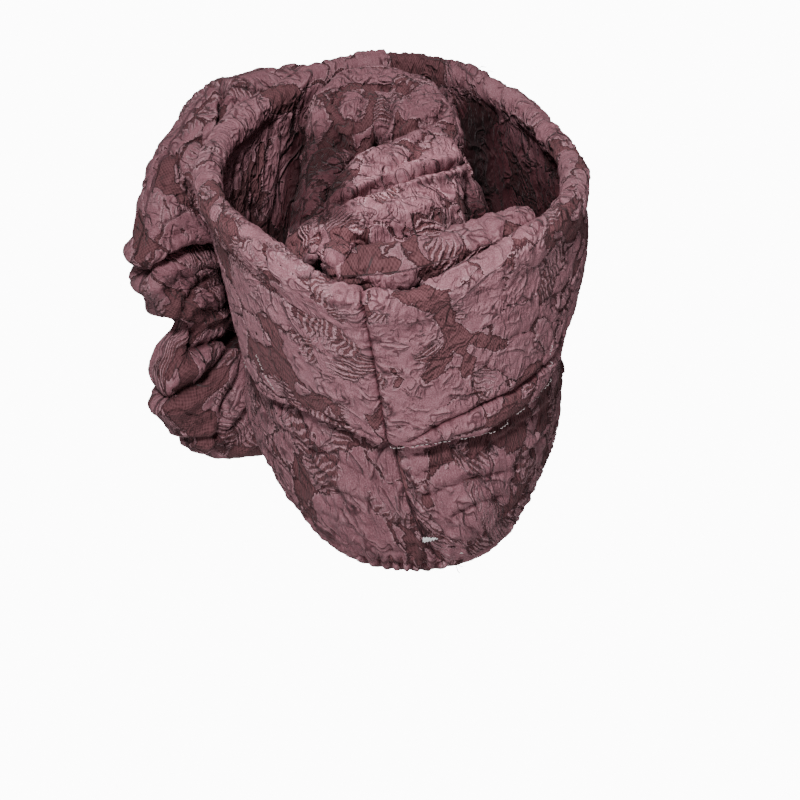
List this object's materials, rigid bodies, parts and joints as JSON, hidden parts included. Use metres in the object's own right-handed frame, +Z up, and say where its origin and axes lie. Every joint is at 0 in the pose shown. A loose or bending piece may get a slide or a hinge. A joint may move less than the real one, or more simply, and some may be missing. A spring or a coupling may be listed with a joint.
{
  "type": "flower turban cap",
  "caption": "Fitted crinkled-jacquard turban cap with elastic hem, tall flared band with padded rim, twisted crown and a large coiled flower at the wearer's left.",
  "frame": {"origin": "middle of the opening for the head, level with the top of the ears, on the axis of the fitted cap", "axes": "+Z up as worn, the wearer faces +Y, +X is the wearer's right; the flower is at the wearer's left front"},
  "size_m": [0.2554, 0.282, 0.2705],
  "materials": {
    "cap_base_cloth": "matte",
    "hem_band_cloth": "matte",
    "halo_band_cloth": "matte",
    "crown_twist_cloth": "matte",
    "tuck_roll_cloth": "matte",
    "flower_outer_coil_cloth": "matte",
    "flower_middle_coil_cloth": "matte",
    "flower_bud_cloth": "matte"
  },
  "bodies": {
    "root": {"cap_base": "cap_base_cloth", "hem_band": "hem_band_cloth", "halo_band": "halo_band_cloth", "crown_twist": "crown_twist_cloth", "tuck_roll": "tuck_roll_cloth", "flower_outer_coil": "flower_outer_coil_cloth", "flower_middle_coil": "flower_middle_coil_cloth", "flower_bud": "flower_bud_cloth"}
  },
  "joints": []
}
